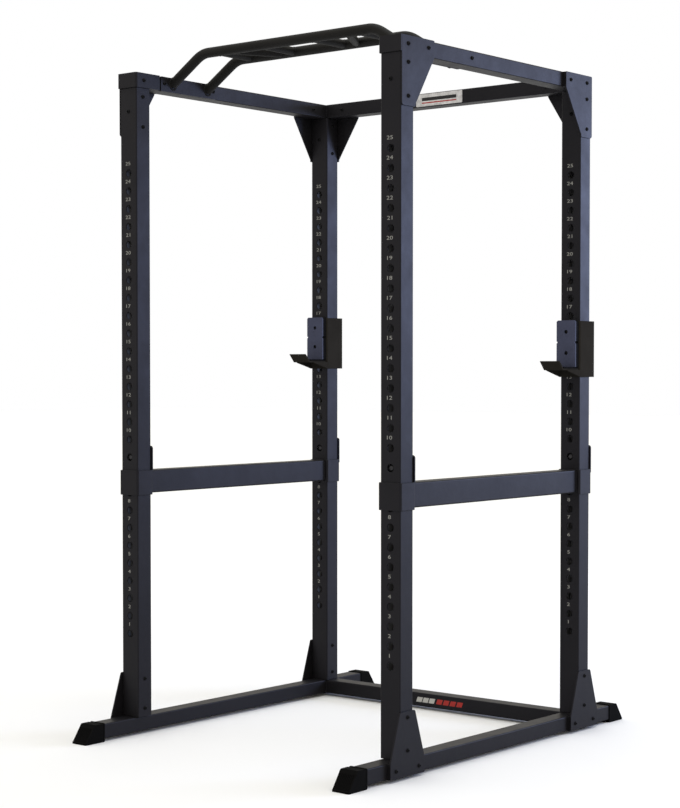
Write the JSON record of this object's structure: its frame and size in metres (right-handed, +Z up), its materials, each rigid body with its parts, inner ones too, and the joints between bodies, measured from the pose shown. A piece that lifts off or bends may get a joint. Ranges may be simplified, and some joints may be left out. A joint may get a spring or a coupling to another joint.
{
  "type": "power cage",
  "caption": "Four-post power cage with perforated numbered uprights, sliding safety rails, J-hooks and a multi-grip pull-up bar.",
  "frame": {"origin": "on the floor, under the middle of the cage's outline", "axes": "+Z up, +X to the user's right seen from the front, +Y to the rear"},
  "size_m": [1.215, 1.542, 2.3259],
  "materials": {
    "frame_paint": "satin slate-blue powder coat",
    "grip_paint": "matte black powder coat",
    "hook_paint": "matte black powder coat",
    "hook_plastic": "matte moulded plastic",
    "foot_rubber": "matte ribbed rubber",
    "pin_steel": "turned, dark zinc",
    "name_plate": "brushed"
  },
  "bodies": {
    "cage_frame": {"upright_front_left": "frame_paint", "foot_front_left": "foot_rubber", "top_gusset_front_left": "frame_paint", "base_gusset_front_left": "frame_paint", "upright_rear_left": "frame_paint", "foot_rear_left": "foot_rubber", "top_gusset_rear_left": "frame_paint", "base_gusset_rear_left": "frame_paint", "base_runner_left": "frame_paint", "top_beam_left": "frame_paint", "rear_gusset_left": "frame_paint", "front_collar_left": "frame_paint", "pull_up_mount_left": "frame_paint", "grip_inner_left": "grip_paint", "grip_angled_left": "grip_paint", "grip_outer_left": "grip_paint", "upright_front_right": "frame_paint", "foot_front_right": "foot_rubber", "top_gusset_front_right": "frame_paint", "base_gusset_front_right": "frame_paint", "upright_rear_right": "frame_paint", "foot_rear_right": "foot_rubber", "top_gusset_rear_right": "frame_paint", "base_gusset_rear_right": "frame_paint", "base_runner_right": "frame_paint", "top_beam_right": "frame_paint", "rear_gusset_right": "frame_paint", "front_collar_right": "frame_paint", "pull_up_mount_right": "frame_paint", "grip_inner_right": "grip_paint", "grip_angled_right": "grip_paint", "grip_outer_right": "grip_paint", "top_beam_rear": "frame_paint", "base_tube_rear": "frame_paint", "pull_up_bar_front": "grip_paint", "pull_up_bar_rear": "grip_paint", "blank_name_plate": "name_plate"},
    "safety_bar_left": {"safety_rail_left": "frame_paint", "safety_sleeve_front_left": "frame_paint", "safety_sleeve_rear_left": "frame_paint"},
    "j_hook_left": {"j_hook_bracket_left": "hook_paint", "j_hook_tray_left": "hook_paint", "j_hook_pad_left": "hook_plastic", "j_hook_liner_left": "hook_plastic", "j_hook_stud_left": "pin_steel"},
    "lock_pin_front_left": {"lock_pin_front_left": "pin_steel"},
    "lock_pin_rear_left": {"lock_pin_rear_left": "pin_steel"},
    "safety_bar_right": {"safety_rail_right": "frame_paint", "safety_sleeve_front_right": "frame_paint", "safety_sleeve_rear_right": "frame_paint"},
    "j_hook_right": {"j_hook_bracket_right": "hook_paint", "j_hook_tray_right": "hook_paint", "j_hook_pad_right": "hook_plastic", "j_hook_liner_right": "hook_plastic", "j_hook_stud_right": "pin_steel"},
    "lock_pin_front_right": {"lock_pin_front_right": "pin_steel"},
    "lock_pin_rear_right": {"lock_pin_rear_right": "pin_steel"}
  },
  "joints": [
    {"name": "safety_height_left", "type": "slide", "parent": "cage_frame", "child": "safety_bar_left", "axis": [0, 0, 1], "range_m": [-0.54, 0.18]},
    {"name": "hook_height_left", "type": "slide", "parent": "cage_frame", "child": "j_hook_left", "axis": [0, 0, 1], "range_m": [-0.18, 0.54]},
    {"name": "pin_pull_front_left", "type": "slide", "parent": "safety_bar_left", "child": "lock_pin_front_left", "axis": [0, 1, 0], "range_m": [0, 0.07], "stiffness_N_per_m": 120, "springref_m": -0.03},
    {"name": "pin_pull_rear_left", "type": "slide", "parent": "safety_bar_left", "child": "lock_pin_rear_left", "axis": [0, 1, 0], "range_m": [0, 0.07], "stiffness_N_per_m": 120, "springref_m": -0.03},
    {"name": "safety_height_right", "type": "slide", "parent": "cage_frame", "child": "safety_bar_right", "axis": [0, 0, 1], "range_m": [-0.54, 0.18]},
    {"name": "hook_height_right", "type": "slide", "parent": "cage_frame", "child": "j_hook_right", "axis": [0, 0, 1], "range_m": [-0.18, 0.54]},
    {"name": "pin_pull_front_right", "type": "slide", "parent": "safety_bar_right", "child": "lock_pin_front_right", "axis": [0, 1, 0], "range_m": [0, 0.07], "stiffness_N_per_m": 120, "springref_m": -0.03},
    {"name": "pin_pull_rear_right", "type": "slide", "parent": "safety_bar_right", "child": "lock_pin_rear_right", "axis": [0, 1, 0], "range_m": [0, 0.07], "stiffness_N_per_m": 120, "springref_m": -0.03}
  ]
}
